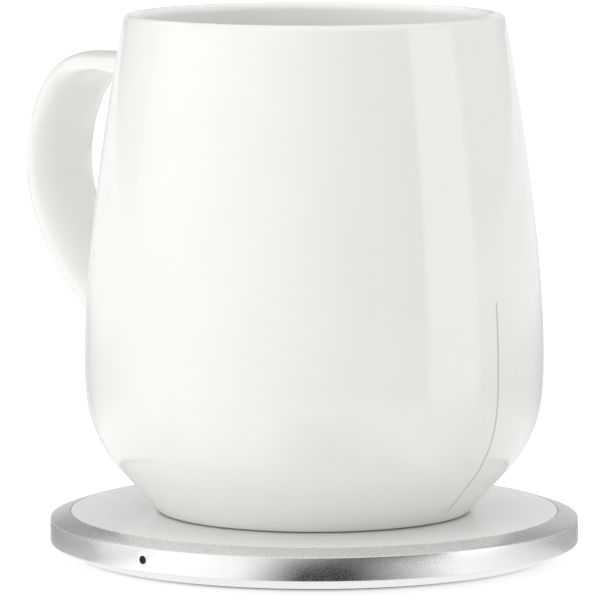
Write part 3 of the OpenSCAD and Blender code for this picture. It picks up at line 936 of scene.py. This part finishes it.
@dataclass
class Handle:
    """The strap handle. Sizes are in millimetres, and turns in degrees.

    Crook, grip and tail are arcs, each given by its radius and its turn. The slim runs are where the arch
    under the top run starts, where it is slimmest and where it ends. The swell makes up for the subdivision.
    """

    width: float = 17.8
    thickness: float = 7.2
    level: float = 81.2
    top_run: float = 16.1
    crook: Point = (5.4, 50.5)
    grip: Point = (25.0, 61.0)
    tail: Point = (44.0, 60.0)
    slim_runs: tuple[float, float, float] = (2.0, 9.0, 19.5)
    root_slim: float = 0.25
    slim_lift: float = 0.6
    slim_share: float = 0.1
    root_fillet: float = 2.0
    root_clear: float = 3.0
    root_depths: Point = (1.8, 0.2)
    root_search: float = 12.0
    fillet_angles: tuple[float, ...] = (85, 75, 60, 40, 20, 0)
    halvings: int = 40
    run_step: float = 0.1
    sides: int = 24
    spacing: float = 1.6
    swell: float = 1.011
    subdivisions: int = 2

    def station(self, run: float, root_radius: float) -> tuple[Point, float]:
        """Finds a place on the strap's centre line.

        Args:
            run: Length along the line, from the wall at its top root.
            root_radius: The wall's radius there.

        Returns:
            The place, in distance from the axis and height, and the heading in degrees.
        """
        place, heading = (root_radius + min(run, self.top_run), self.level), 0.0
        left = run - self.top_run
        for radius, turn in (self.crook, self.grip, self.tail):
            if left <= 0:
                break
            step = min(math.degrees(left / radius), turn)
            centre = on_circle(place, radius, heading - 90)
            heading -= step
            place = on_circle(centre, radius, heading + 90)
            left -= math.radians(step) * radius
        return place, heading

    def place(self, run: float, across: float, out: float, root_radius: float) -> Vector:
        """Finds a place beside the centre line.

        Args:
            run: Length along the line, from the wall at its top root.
            across: How far it lies to the strap's side.
            out: How far it lies towards the strap's outer side.
            root_radius: The wall's radius at the top root.

        Returns:
            The place, in millimetres.
        """
        (x, z), heading = self.station(run, root_radius)
        turn = math.radians(heading)
        return Vector((x - out * math.sin(turn), across, z + out * math.cos(turn)))

    def slimness(self, run: float) -> float:
        """Gives how far the strap is slimmed on its inner side.

        Args:
            run: Length along the centre line.

        Returns:
            The share, 1 where the strap is slimmest and 0 from the arch's end onwards.
        """
        root, middle, end = self.slim_runs
        least, reach = (self.root_slim, root - middle) if run < middle else (0.0, end - middle)
        share = min(max((run - middle) / reach, 0.0), 1.0)
        return 1 - (1 - least) * share * share * (3 - 2 * share)

    def section(self, extra: float, slim: float) -> list[Point]:
        """Lists the strap's section, an oval that is slimmed on its inner side and grown all round.

        Args:
            extra: The growth.
            slim: How far it is slimmed, from 0 to 1.

        Returns:
            The points, as across and out.
        """
        half_width, half = self.width / 2 * self.swell, self.thickness / 2 * self.swell
        lift = self.slim_lift * slim
        inner = half * (1 - (1 - self.slim_share) * slim)
        points = []
        for k in range(self.sides):
            turn = k * FULL_TURN / self.sides
            across, out = -math.cos(turn), math.sin(turn)
            reach = half - lift if out > 0 else inner
            points.append(((half_width + extra) * across, lift + (reach + extra) * out))
        return points

    def root_ring(self, cup: Cup, extra: float, gap: float, runs: Point, slim: float) -> list[Vector]:
        """Lists a ring of points at one distance from the wall.

        Args:
            cup: The cup.
            extra: The section's growth.
            gap: The distance from the wall; a negative one lies inside it.
            runs: The run nearest to the wall's middle and the one furthest out.
            slim: How far the section is slimmed.

        Returns:
            The points.
        """
        ring = []
        root_radius = cup.radius_at(self.level)
        for across, out in self.section(extra, slim):
            near, far = runs
            for _ in range(self.halvings):
                middle = (near + far) / 2
                if cup.gap(self.place(middle, across, out, root_radius)) < gap:
                    near = middle
                else:
                    far = middle
            ring.append(self.place(far, across, out, root_radius))
        return ring

    def flare(self) -> list[Point]:
        """Lists how a root flares: its rings inside the wall and along the fillet.

        Returns:
            The section's growth and the distance from the wall, for each ring.
        """
        fillet = self.root_fillet
        growth = [(fillet, -depth) for depth in self.root_depths]
        for angle in self.fillet_angles:
            turn = math.radians(angle)
            growth.append((fillet * (1 - math.cos(turn)), fillet * (1 - math.sin(turn))))
        return growth

    def rings(self, cup: Cup) -> list[list[Vector]]:
        """Lists the strap's rings, from inside the wall at the top root to inside it at the lower one.

        Args:
            cup: The cup.

        Returns:
            The rings.
        """
        growth = self.flare()
        root_radius = cup.radius_at(self.level)
        arcs = (self.crook, self.grip, self.tail)
        crook, grip, tail = (radius * math.radians(turn) for radius, turn in arcs)
        grip_end = self.top_run + crook + grip
        top_runs, tail_runs = (-self.root_search, self.top_run), (grip_end + tail, grip_end)
        top = [self.root_ring(cup, extra, gap, top_runs, self.root_slim) for extra, gap in growth]
        low = [self.root_ring(cup, extra, gap, tail_runs, 0.0) for extra, gap in growth]
        lowest = grip_end
        while all(
            cup.gap(self.place(lowest, across, out, root_radius)) > self.root_clear
            for across, out in self.section(0, 0.0)
        ):
            lowest += self.run_step
        count = round((lowest - self.root_clear) / self.spacing)
        middle = []
        for i in range(count + 1):
            run = self.root_clear + (lowest - self.root_clear) * i / count
            section = self.section(0, self.slimness(run))
            middle.append([self.place(run, across, out, root_radius) for across, out in section])
        return top + middle + low[::-1]

    def build(self, cup: Cup) -> Workpiece:
        """Makes the strap, which points to -X.

        Args:
            cup: The cup that it grows out of.

        Returns:
            The strap, with its ends inside the cup's wall.
        """
        rings = [
            [Vector((-place.x, -place.y, place.z + cup.stand)) * MM for place in ring]
            for ring in self.rings(cup)
        ]
        strap = Workpiece.strap("strap", rings)
        strap.modify("SUBSURF", levels=self.subdivisions, render_levels=self.subdivisions)
        return strap


@dataclass
class Hairline:
    """The fine printed line down the mug's side. Sizes are in millimetres and degrees."""

    top: float = 43.0
    bottom: float = 1.6
    angle: float = 0.2
    width: float = 0.3
    lift: float = 0.015
    thickness: float = 0.02
    steps: int = 3

    def build(self, cup: Cup) -> Workpiece:
        """Lays a thin ribbon down the cup's outside.

        Args:
            cup: The cup.

        Returns:
            The ribbon.
        """
        outline = [
            (radius + self.lift, height + cup.stand)
            for radius, height in cup.outside()
            if self.bottom < height < self.top and radius > cup.heel[0]
        ]
        ribbon = Workpiece.lathe("side_hairline", outline, self.steps)
        turn = math.radians(self.angle)
        half = self.width / 2 * MM
        ribbon.select(lambda place: abs(place.y) > TOUCH or place.x < 0)
        with ribbon.editing():
            bpy.ops.mesh.delete(type="VERT")
            bpy.ops.mesh.select_all(action="SELECT")
            bpy.ops.transform.translate(value=(0, -half, 0))
            bpy.ops.mesh.extrude_edges_move(TRANSFORM_OT_translate={"value": (0, 2 * half, 0)})
            bpy.ops.mesh.select_all(action="SELECT")
            bpy.ops.transform.rotate(value=-turn, orient_axis="Z", center_override=(0, 0, 0))
        ribbon.modify("SOLIDIFY", thickness=self.thickness * MM, offset=1.0)
        return ribbon

    def dress(self, ribbon: Workpiece) -> None:
        """Prints the line in a warm grey."""
        ribbon.paint(Finish("hairline_print", (0.60, 0.59, 0.55), (0.3, 0.4), cloud=3.0).build())
        ribbon.settle(Body.MUG, "mug_glaze")


@dataclass
class Pad:
    """The warming pad's outside. Sizes are in millimetres above the table.

    A bevel is given by its width and height, the ledge by its reach and thickness, the screw hole by its
    radius and top, the lamp hole by its radius and level, and the inlet's slot by its width, height and
    level.
    """

    radius: float = 50.0
    height: float = 8.3
    foot_stand: float = 0.5
    top_bevel: Point = (3.8, 1.2)
    low_bevel: Point = (4.9, 2.1)
    ring_wall: float = 6.0
    ledge: Point = (3.2, 0.6)
    ledge_top: float = 6.6
    edge_round: float = 0.25
    seam_round: float = 0.06
    plate_gap: float = 0.1
    plate_thickness: float = 1.5
    plate_edge: float = 0.1
    base_top: float = 2.0
    lugs: int = 4
    lug_radius: float = 2.4
    lug_circle: float = 40.5
    lug_round: float = 0.15
    lug_overlap: float = 0.1
    lug_split: float = 1.2
    lug_steps: int = 32
    screw_hole: Point = (0.85, 4.95)
    lamp_hole: Point = (0.8, 4.85)
    inlet: tuple[float, float, float] = (9.14, 3.4, 4.55)
    cut_margin: float = 6.0
    cut_round: float = 0.12
    cut_angle: float = 50.0
    cut_steps: int = 2
    steps: int = 256
    plate_edge_steps: int = 6
    ring_smooth_angle: float = 32.0
    plate_smooth_angle: float = 30.0

    def __post_init__(self) -> None:
        """Works out the radii that the pieces share."""
        self.pocket_radius: float = self.radius - self.top_bevel[0]
        self.bore_radius: float = self.radius - self.ring_wall
        self.ledge_low: float = self.ledge_top - self.ledge[1]

    def build_ring(self) -> Workpiece:
        """Turns the bevelled ring, adds its lugs and cuts its lamp hole and inlet slot.

        Returns:
            The ring.
        """
        ledge_radius = self.pocket_radius - self.ledge[0]
        outline = closed(
            [
                (self.bore_radius, self.foot_stand),
                (self.radius - self.low_bevel[0], self.foot_stand),
                (self.radius, self.foot_stand + self.low_bevel[1]),
                (self.radius, self.height - self.top_bevel[1]),
                (self.pocket_radius, self.height, self.seam_round),
                (self.pocket_radius, self.ledge_top),
                (ledge_radius, self.ledge_top),
                (ledge_radius, self.ledge_low),
                (self.bore_radius, self.ledge_low),
            ],
            self.edge_round,
        )
        ring = Workpiece.lathe("bevelled_ring", outline, self.steps)
        for i in range(self.lugs):
            ring.combine(Join.UNION, self.lug((i + 0.5) * FULL_TURN / self.lugs))
        length = self.ring_wall + 2 * self.cut_margin
        width, height, level = self.inlet
        back = Vector((0, self.bore_radius - self.cut_margin, level))
        ring.combine(Join.CUT, Workpiece.pill("slot", width, height, length, back))
        hole_radius, hole_level = self.lamp_hole
        front = Vector((0, -self.radius - self.cut_margin, hole_level))
        ring.combine(Join.CUT, Workpiece.pill("hole", 2 * hole_radius, 2 * hole_radius, length, front))
        ring.modify(
            "BEVEL",
            width=self.cut_round * MM,
            segments=self.cut_steps,
            limit_method="ANGLE",
            angle_limit=math.radians(self.cut_angle),
        )
        ring.smooth(self.ring_smooth_angle)
        return ring

    def lug(self, turn: float) -> Workpiece:
        """Makes one screw lug, as a post that reaches into the ring's wall.

        Args:
            turn: Its place round the axis, in radians.

        Returns:
            The lug, with its screw hole.
        """
        hole_radius, hole_top = self.screw_hole
        top = self.ledge_low + self.lug_overlap
        outline = softened(
            [
                (hole_radius, self.base_top),
                (self.lug_radius, self.base_top),
                (self.lug_radius, top),
                (0, top),
            ],
            self.lug_round,
        )
        outline = [*outline, (0, hole_top), (hole_radius, hole_top), (hole_radius, self.base_top)]
        lug = Workpiece.lathe("lug", outline, self.lug_steps)
        lug.select(lambda place: place.x > self.lug_split * MM)
        with lug.editing():
            bpy.ops.transform.translate(value=((self.bore_radius - self.lug_circle) * MM, 0, 0))
            bpy.ops.mesh.select_all(action="SELECT")
            bpy.ops.transform.translate(value=(self.lug_circle * MM, 0, 0))
            bpy.ops.transform.rotate(value=-turn, orient_axis="Z", center_override=(0, 0, 0))
        return lug

    def build_plate(self) -> Workpiece:
        """Turns the top plate, with a soft upper edge.

        Returns:
            The plate.
        """
        radius = self.pocket_radius - self.plate_gap
        low = self.height - self.plate_thickness
        corners = [(0, low), (radius, low), (radius, self.height), (0, self.height)]
        outline = softened(corners, self.plate_edge, self.plate_edge_steps)
        plate = Workpiece.lathe("satin_plate", outline, self.steps)
        plate.smooth(self.plate_smooth_angle)
        return plate

    def dress(self, ring: Workpiece, plate: Workpiece) -> None:
        """Gives the ring its blasted metal and the plate its satin.

        Args:
            ring: The bevelled ring.
            plate: The top plate.
        """
        metal = BlastedMetal(
            "blasted_aluminium",
            (0.77, 0.77, 0.768),
            (0.19, 0.21),
            cloud=12.0,
            mottle=0.03,
            grain=0.13,
            metallic=1.0,
        )
        satin = Finish(
            "satin_plate", (0.82, 0.83, 0.82), (0.16, 0.22), cloud=15.0, mottle=0.02, grain=0.15, depth=2.0
        )
        ring.paint(metal.build())
        ring.settle(Body.PAD, "ring_aluminium", "housing_ring")
        plate.paint(satin.build())
        plate.settle(Body.PAD, "plate_gloss", "top_plate")


@dataclass
class FootPad:
    """The round foot under the pad. Sizes are in millimetres."""

    radius: float = 43.1
    top: float = 0.9
    edge_round: float = 0.35
    steps: int = 192
    smooth_angle: float = 40.0

    def build(self) -> Workpiece:
        """Turns the foot, with a soft edge.

        Returns:
            The foot.
        """
        corners = [(0, 0), (self.radius, 0), (self.radius, self.top), (0, self.top)]
        foot = Workpiece.lathe("soft_foot", softened(corners, self.edge_round), self.steps)
        foot.smooth(self.smooth_angle)
        return foot

    def dress(self, foot: Workpiece) -> None:
        """Gives the foot its silicone.

        Args:
            foot: The foot.
        """
        silicone = Finish(
            "grey_silicone", (0.055, 0.055, 0.058), (0.6, 0.75), cloud=5.0, mottle=0.15, depth=20.0
        )
        foot.paint(silicone.build())
        foot.settle(Body.PAD, "foot_rubber", "foot_pad")


class Works:
    """The pieces that keep their construction solids: each gets the finish of its material slot."""

    def finishes(self) -> dict[str, Finish]:
        """Gives the finish of each slot."""
        return {
            "white_silicone": Finish("white_silicone", (0.74, 0.74, 0.72), (0.55, 0.7)),
            "disc_steel": Finish("rolled_steel", (0.55, 0.55, 0.56), (0.25, 0.4), cloud=3.0, metallic=1.0),
            "cap_plastic": Finish("cap_plastic", (0.76, 0.76, 0.74), (0.4, 0.5), depth=12.0),
            "dark_tape": Finish("foam_tape", (0.03, 0.03, 0.03), (0.7, 0.85), mottle=0.3, depth=30.0),
            "cover_plastic": Finish("cover_plastic", (0.55, 0.55, 0.55), (0.4, 0.5), depth=12.0),
            "screw_steel": Finish("plated_steel", (0.5, 0.5, 0.51), (0.2, 0.35), cloud=1.0, metallic=1.0),
            "heat_silicone": Finish("heat_sheet", (0.33, 0.5, 0.62), (0.6, 0.75), mottle=0.12),
            "coil_copper": Finish(
                "enamelled_copper", (0.62, 0.27, 0.12), (0.2, 0.32), cloud=1.5, metallic=1.0, coat=0.6
            ),
            "ferrite": Finish(
                "sintered_ferrite", (0.035, 0.035, 0.04), (0.45, 0.65), mottle=0.25, depth=15.0
            ),
            "tray_plastic": Finish("tray_plastic", (0.06, 0.06, 0.065), (0.45, 0.6), depth=15.0),
            "sensor_resin": Finish("dipped_resin", (0.015, 0.015, 0.015), (0.25, 0.4), cloud=1.0),
            "board_laminate": Finish(
                "solder_mask", (0.012, 0.11, 0.04), (0.25, 0.38), cloud=2.0, mottle=0.2
            ),
            "chip_resin": Finish("chip_resin", (0.018, 0.018, 0.02), (0.5, 0.65), mottle=0.2, grain=0.1),
            "capacitor_ceramic": Finish("fired_ceramic", (0.36, 0.22, 0.12), (0.4, 0.55), cloud=1.5),
            "inlet_steel": Finish("bright_steel", (0.6, 0.6, 0.61), (0.16, 0.28), cloud=1.5, metallic=1.0),
            "inlet_plastic": Finish("tongue_plastic", (0.02, 0.02, 0.02), (0.4, 0.55), cloud=1.0),
            "lamp_resin": Finish(
                "clear_resin", (0.85, 0.85, 0.78), (0.1, 0.2), cloud=1.0, transmission=0.5
            ),
            "pipe_acrylic": Finish(
                "smoked_acrylic", (0.012, 0.012, 0.013), (0.35, 0.45), cloud=1.0, ior=1.25
            ),
        }

    def dress(self) -> None:
        """Paints every construction solid that a finish covers."""
        made = {slot: finish.build() for slot, finish in self.finishes().items()}
        for subpart in frame["record"]["subparts"]:
            node = frame["nodes"][subpart["node"]]
            slot = subpart["material_slot"]
            if slot in made:
                for material_slot in node.material_slots:
                    material_slot.material = made[slot]
                LOG.info("%s: %s", subpart["node"], made[slot].name)


@dataclass(frozen=True)
class Softbox:
    """A soft light that looks at the object. Lengths are in metres, and power in watts.

    The turn is in degrees to the right of the camera, and the rise in degrees above the horizon.
    """

    name: str
    turn: float
    rise: float
    away: float
    size: Point
    power: float
    mirrored: bool = True


@dataclass(frozen=True)
class Card:
    """A curved grey card from one turn to another, which only reflections see.

    Each of its two edges is given by its distance from the object and its height, in metres. Its grey fades
    from one end to the other.
    """

    name: str
    turns: Point
    edges: tuple[Point, Point]
    greys: Point


# Edges of the cards that stand round the object and of those that lie by the rim
SIDE_EDGES = ((0.9, 0.001), (0.9, 0.55))
FLOOR_EDGES = ((0.053, 0.0005), (0.14, 0.0005))


@dataclass
class Studio:
    """Floor, lights and camera. Lengths are in metres, turns in degrees, and lens and sensor in millimetres.

    The floor lies a hair below the foot, and rays shorter than the underside's reach go through it. Its glow
    grows along the glow's reach. The table's gloss is a grey and a roughness, and shows at a grazing look.
    """

    azimuth: float = 39.0
    distance: float = 1.0362
    camera_height: float = 0.1693
    side_step: float = -0.0027
    pitch: float = 6.67
    lens: float = 331.6
    sensor: float = 36.0
    sight: float = 100.0
    floor_size: float = 12.0
    floor_parts: int = 8
    floor_drop: float = 0.0001
    underside_reach: float = 0.001
    floor_white: float = 0.88
    floor_glow: Point = (0.4, 0.9)
    glow_reach: Point = (0.2, 1.6)
    floor_in_metal: float = 1.1
    table_gloss: Point = (0.95, 0.12)
    grazing: Point = (0.70, 0.84)
    ambient: float = 0.70
    card_columns: int = 16
    softboxes: tuple[Softbox, ...] = (
        Softbox("left_softbox", -60, 12, 1.2, (1.4, 0.5), 4.4, mirrored=False),
        Softbox("right_softbox", 73, 12, 1.2, (0.70, 0.5), 1.0),
        Softbox("overhead_softbox", 0, 88, 1.3, (0.9, 0.9), 3.0, mirrored=False),
        Softbox("rim_softbox", 135, 20, 1.2, (0.6, 0.6), 2.0, mirrored=False),
    )
    cards: tuple[Card, ...] = (
        Card("far_left_card", (-105, -60), SIDE_EDGES, (1.0, 1.6)),
        Card("left_card", (-60, -22), SIDE_EDGES, (1.6, 1.1)),
        Card("front_left_card", (-22, 18), SIDE_EDGES, (1.1, 0.1)),
        Card("front_card", (18, 57), SIDE_EDGES, (0.1, 0.03)),
        Card("left_floor_card", (-67, -50), FLOOR_EDGES, (0.7, 1.4)),
        Card("front_left_floor_card", (-50, -20), FLOOR_EDGES, (1.45, 1.25)),
        Card("front_fading_floor_card", (-20, -4), FLOOR_EDGES, (1.25, 0.0)),
        Card("front_floor_card", (-4, 9), FLOOR_EDGES, (0.0, 0.02)),
        Card("front_right_floor_card", (9, 36), FLOOR_EDGES, (0.02, 1.2)),
        Card("right_floor_card", (36, 82), FLOOR_EDGES, (1.3, 0.85)),
        Card("back_right_card", (88, 180), ((1.5, 0.1), (1.5, 1.8)), (0.62, 0.38)),
        Card("back_left_card", (180, 255), ((1.5, 0.1), (1.5, 1.0)), (0.30, 0.46)),
        Card("low_back_right_card", (162, 180), ((1.45, 0.06), (1.45, 0.55)), (0.72, 0.76)),
        Card("low_back_left_card", (180, 200), ((1.45, 0.06), (1.45, 0.33)), (0.76, 0.8)),
    )

    def direction(self, turn: float, rise: float = 0.0) -> Vector:
        """Gives a direction from the object.

        Args:
            turn: Degrees to the right of the camera.
            rise: Degrees above the horizon.

        Returns:
            The direction.
        """
        around, up = math.radians(self.azimuth + turn), math.radians(rise)
        return Vector((math.sin(around) * math.cos(up), -math.cos(around) * math.cos(up), math.sin(up)))

    def camera(self) -> None:
        """Places the camera at the photograph's viewing angle."""
        data = bpy.data.cameras.new("camera")
        data.sensor_width = self.sensor
        data.lens = self.lens
        data.clip_end = self.sight
        camera = bpy.data.objects.new("camera", data)
        place = self.direction(0) * self.distance + self.direction(90) * self.side_step
        camera.location = (place.x, place.y, self.camera_height)
        camera.rotation_euler = (math.radians(90 - self.pitch), 0, math.radians(self.azimuth))
        bpy.context.collection.objects.link(camera)
        bpy.context.scene.camera = camera

    def seen(self, graph: Graph) -> Socket:
        """Gives 1 for camera, glossy and transmission rays, and 0 for the rest.

        Args:
            graph: The graph of the floor or the world.

        Returns:
            The share.
        """
        rays = graph.add("LightPath").outputs
        first = graph.work_out("MAXIMUM", rays["Is Camera Ray"], rays["Is Glossy Ray"])
        return graph.work_out("MAXIMUM", first, rays["Is Transmission Ray"])

    def world(self) -> None:
        """Sets a white world, which lights the object softly."""
        world = bpy.data.worlds.new("studio")
        world.use_nodes = True
        graph = Graph(world.node_tree)
        strength = graph.mapped(self.seen(graph), UNIT, (self.ambient, 1.0))
        background = graph.add("Background", {"Color": WHITE, "Strength": strength})
        graph.add("OutputWorld", {"Surface": background.outputs[0]})
        bpy.context.scene.world = world

    def paper(self, graph: Graph) -> Socket:
        """Gives white paper that keeps the object's shadow, and glows where it is looked at.

        Args:
            graph: The floor's graph.

        Returns:
            The shader.
        """
        paper = graph.add("BsdfDiffuse", {"Color": (self.floor_white,) * 3 + (1,)})
        place = graph.add("TexCoord").outputs["Object"]
        reach = graph.add("VectorMath", {0: place}, operation="LENGTH").outputs["Value"]
        glow = graph.mapped(reach, self.glow_reach, self.floor_glow)
        shown = graph.work_out("MULTIPLY", self.seen(graph), glow)
        light = graph.add("Emission", {"Color": WHITE, "Strength": shown})
        return graph.add("AddShader", {0: paper.outputs[0], 1: light.outputs[0]}).outputs[0]

    def table(self, graph: Graph) -> Socket:
        """Gives a white table with a gloss where the look grazes it.

        Args:
            graph: The floor's graph.

        Returns:
            The shader.
        """
        grey, roughness = self.table_gloss
        gloss = graph.add("BsdfGlossy", {"Color": (grey, grey, grey, 1), "Roughness": roughness})
        white = graph.add("Emission", {"Color": WHITE, "Strength": self.floor_in_metal})
        facing = graph.add("LayerWeight").outputs["Facing"]
        share = graph.mapped(facing, self.grazing, UNIT)
        return graph.add("MixShader", {0: share, 1: white.outputs[0], 2: gloss.outputs[0]}).outputs[0]

    def floor(self) -> None:
        """Lays the floor: paper, which reflections see as a table and which is clear from below."""
        floor = Workpiece.grid("floor", self.floor_parts, self.floor_parts, self.floor_size)
        for vertex in floor.object.data.vertices:
            vertex.co.z -= self.floor_drop
        material, graph = new_material("floor_paper")
        path = graph.add("LightPath").outputs
        surface = graph.add(
            "MixShader", {0: path["Is Glossy Ray"], 1: self.paper(graph), 2: self.table(graph)}
        )
        near = graph.work_out("LESS_THAN", path["Ray Length"], self.underside_reach)
        below = graph.add("NewGeometry").outputs["Backfacing"]
        away = graph.work_out("MAXIMUM", near, below)
        clear = graph.add("BsdfTransparent")
        shown = graph.add("MixShader", {0: away, 1: surface.outputs[0], 2: clear.outputs[0]})
        graph.add("OutputMaterial", {"Surface": shown.outputs[0]})
        floor.paint(material)

    def hang(self, box: Softbox) -> None:
        """Hangs a softbox, which looks at the object.

        Args:
            box: The softbox.
        """
        data = bpy.data.lights.new(box.name, "AREA")
        data.shape = "RECTANGLE"
        data.size, data.size_y = box.size
        data.energy = box.power
        light = bpy.data.objects.new(box.name, data)
        towards = self.direction(box.turn, box.rise)
        light.location = towards * box.away
        light.rotation_euler = (-towards).to_track_quat("-Z", "Y").to_euler()
        light.visible_camera = False
        light.visible_glossy = box.mirrored
        bpy.context.collection.objects.link(light)

    def stand(self, card: Card) -> None:
        """Stands a card round the object.

        Args:
            card: The card.
        """
        (start, end), (first, last) = card.turns, card.greys
        columns = self.card_columns
        piece = Workpiece.grid(card.name, columns, 1)
        greys = piece.object.data.attributes.new("grey", "FLOAT", "POINT")
        for index, vertex in enumerate(piece.object.data.vertices):
            row, column = divmod(index, columns + 1)
            share = column / columns
            away, level = card.edges[row]
            vertex.co = self.direction(start + (end - start) * share) * away
            vertex.co.z = level
            greys.data[index].value = first + (last - first) * share
        material, graph = new_material(card.name)
        grey = graph.add("Attribute", attribute_name="grey").outputs["Fac"]
        cloth = graph.add("Emission", {"Strength": grey})
        graph.add("OutputMaterial", {"Surface": cloth.outputs[0]})
        piece.paint(material)
        piece.object.visible_camera = False
        piece.object.visible_diffuse = False
        piece.object.visible_shadow = False

    def build(self) -> None:
        """Sets up the whole studio."""
        bpy.context.scene.view_settings.view_transform = "Standard"
        self.camera()
        self.world()
        self.floor()
        for box in self.softboxes:
            self.hang(box)
        for card in self.cards:
            self.stand(card)


def main() -> None:
    """Builds and dresses the mug and its pad, in order."""
    logging.basicConfig(level=logging.INFO, format="%(message)s")
    studio = Studio()
    studio.build()
    cup = Cup()
    cup.dress(cup.build(Handle()))
    hairline = Hairline()
    hairline.dress(hairline.build(cup))
    pad = Pad()
    pad.dress(pad.build_ring(), pad.build_plate())
    foot = FootPad()
    foot.dress(foot.build())
    Works().dress()


if __name__ == "__main__":
    main()
